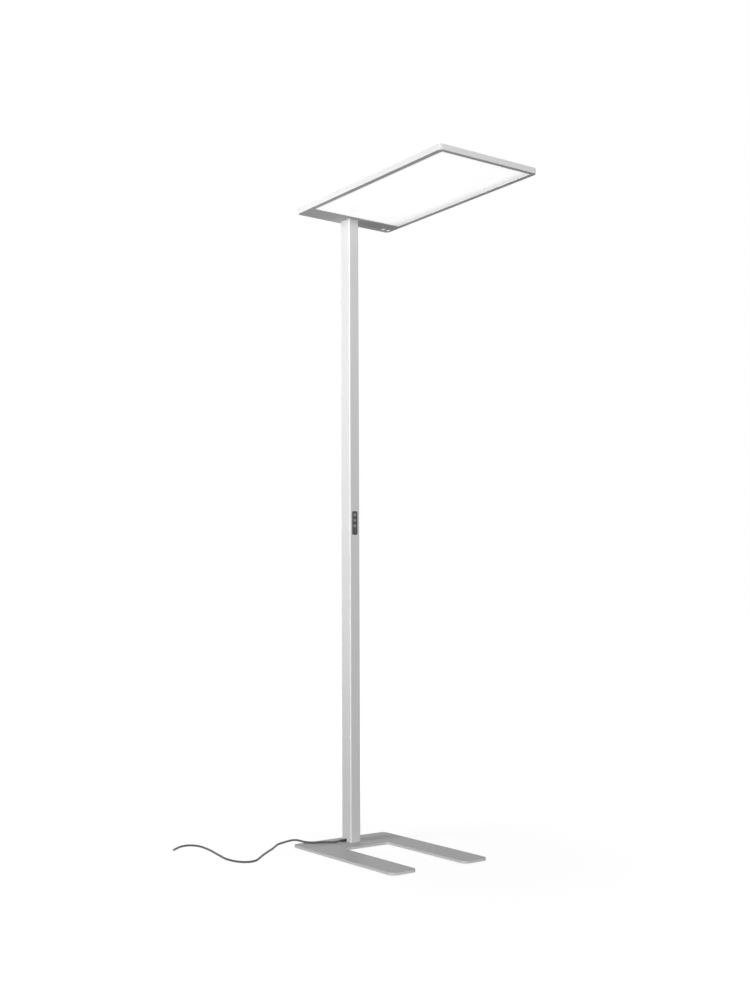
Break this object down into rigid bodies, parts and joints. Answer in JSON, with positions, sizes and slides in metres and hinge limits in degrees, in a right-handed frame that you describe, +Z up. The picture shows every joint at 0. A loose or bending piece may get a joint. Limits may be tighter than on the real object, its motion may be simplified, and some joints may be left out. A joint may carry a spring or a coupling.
{
  "type": "office floor lamp",
  "caption": "Office floor lamp: flat rectangular LED head cantilevered on a slim rectangular post, with a U-shaped steel base, a control panel of sprung buttons and a mains cord.",
  "frame": {"origin": "on the floor, at the centre of the lamp's footprint without its cord", "axes": "+X along the head and the base's legs, away from the post; +Y to the left when looking along +X; +Z up"},
  "size_m": [0.9499, 0.6568, 1.95],
  "materials": {
    "base_paint": "satin light grey powder coat on steel plate",
    "lamp_paint": "satin silver-grey coat on aluminium",
    "bare_aluminium": "mill finish",
    "screw_steel": "zinc plated",
    "pad_rubber": "matt black",
    "gland_rubber": "matt dark grey",
    "cord_grey": "matt dark grey PVC sheath",
    "lead_black": "matt black insulation",
    "panel_dark": "satin dark grey",
    "button_grey": "satin mid grey",
    "window_smoke": "smoked, glossy",
    "board_green": "solder mask",
    "switch_black": "moulded",
    "guide_acrylic": "clear acrylic sheet",
    "reflector_white": "matt white film",
    "pad_foam": "closed-cell foam sheet",
    "driver_case": "white flame-retardant plastic",
    "terminal_white": "moulded",
    "lens_white": "milky moulded lens",
    "light_grey": "milky light pipe",
    "diffuser_opal": "opal acrylic, microprismatic underside",
    "diode_strip": "white board with phosphor diodes"
  },
  "bodies": {
    "lamp": {"base_plate": "base_paint", "base_pads": "pad_rubber", "base_screws": "screw_steel", "post_tube": "lamp_paint", "cord_gland": "gland_rubber", "control_housing": "panel_dark", "panel_window": "window_smoke", "control_board": "board_green", "tact_switches": "switch_black", "control_lead": "lead_black", "mains_lead": "lead_black", "head_frame": "lamp_paint", "head_bracket": "bare_aluminium", "head_screws": "screw_steel", "lead_grommet": "gland_rubber", "diffuser": "diffuser_opal", "light_guide": "guide_acrylic", "reflector_sheet": "reflector_white", "heat_plate": "bare_aluminium", "backing_pad": "pad_foam", "led_strip_near": "diode_strip", "led_strip_far": "diode_strip", "top_cover": "lamp_paint", "cover_screws": "screw_steel", "driver": "driver_case", "driver_screws": "screw_steel", "terminal_block": "terminal_white", "sensor_board": "board_green", "sensor_lenses": "lens_white", "sensor_lights": "light_grey", "mains_cord": "cord_grey"},
    "button_brighter_cap": {"button_brighter": "button_grey"},
    "button_power_cap": {"button_power": "button_grey"},
    "button_dimmer_cap": {"button_dimmer": "button_grey"}
  },
  "joints": [
    {"name": "button_brighter_press", "type": "slide", "parent": "lamp", "child": "button_brighter_cap", "axis": [-1, 0, 0], "range_m": [0, 0.0004], "stiffness_N_per_m": 1200},
    {"name": "button_power_press", "type": "slide", "parent": "lamp", "child": "button_power_cap", "axis": [-1, 0, 0], "range_m": [0, 0.0004], "stiffness_N_per_m": 1200},
    {"name": "button_dimmer_press", "type": "slide", "parent": "lamp", "child": "button_dimmer_cap", "axis": [-1, 0, 0], "range_m": [0, 0.0004], "stiffness_N_per_m": 1200}
  ]
}
